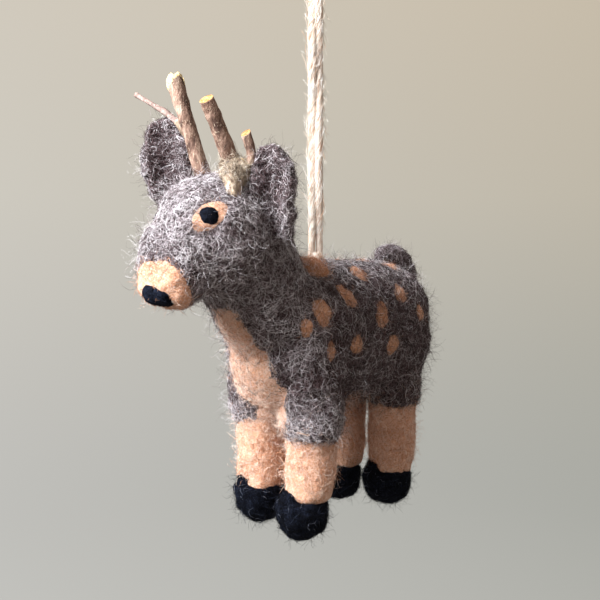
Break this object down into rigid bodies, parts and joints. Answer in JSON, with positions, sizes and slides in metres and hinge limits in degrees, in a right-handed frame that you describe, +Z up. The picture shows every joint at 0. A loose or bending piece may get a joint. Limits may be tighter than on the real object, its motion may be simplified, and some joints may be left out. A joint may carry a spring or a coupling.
{
  "type": "felted deer hanging ornament",
  "caption": "Needle-felted wool roe deer with twig antlers, cupped ears and spotted back, hanging from a doubled twine loop.",
  "frame": {"origin": "inside the fold at the top of the twine, where it lies on a hook", "axes": "+Z up along the taut twine, deer faces -Y, its left side is +X"},
  "size_m": [0.0455, 0.0948, 0.158],
  "materials": {
    "coat_wool": "needle-felted wool, marled brown grey with pale hairs",
    "tan_wool": "needle-felted wool, tan",
    "black_wool": "needle-felted wool, black",
    "core_wool": "rolled core wool, undyed",
    "bark": "natural twig with bark and cut ends",
    "twine": "plied natural twine"
  },
  "bodies": {
    "twine": {"twine_stem": "twine", "twine_loop": "twine"},
    "anchor": {"anchor_knot": "twine"},
    "deer": {"antler_left": "bark", "antler_right": "bark", "belly_panel": "tan_wool", "chest_bib": "tan_wool", "core_head": "core_wool", "core_neck": "core_wool", "core_torso": "core_wool", "cuff_front_left": "coat_wool", "cuff_front_right": "coat_wool", "cuff_rear_left": "coat_wool", "cuff_rear_right": "coat_wool", "ear_left": "coat_wool", "ear_right": "coat_wool", "exit_tuft": "tan_wool", "eye_ring_left": "tan_wool", "eye_ring_right": "tan_wool", "flank_spots_left": "tan_wool", "flank_spots_right": "tan_wool", "head_coat": "coat_wool", "hoof_front_left": "black_wool", "hoof_front_right": "black_wool", "hoof_rear_left": "black_wool", "hoof_rear_right": "black_wool", "muzzle_band": "tan_wool", "neck_coat": "coat_wool", "nose_patch": "black_wool", "pupil_left": "black_wool", "pupil_right": "black_wool", "shank_front_left": "tan_wool", "shank_front_right": "tan_wool", "shank_rear_left": "tan_wool", "shank_rear_right": "tan_wool", "spine_spots": "tan_wool", "tail": "coat_wool", "torso_coat": "coat_wool"}
  },
  "joints": [
    {"name": "deer_spin", "type": "hinge", "parent": "twine", "child": "anchor", "pos_m": [0, 0, -0.0854], "axis": [0, 0, 1], "continuous": true},
    {"name": "deer_tilt", "type": "hinge", "parent": "anchor", "child": "deer", "pos_m": [0, 0, -0.0884], "axis": [1, 0, 0], "range_deg": [-35, 35]}
  ]
}
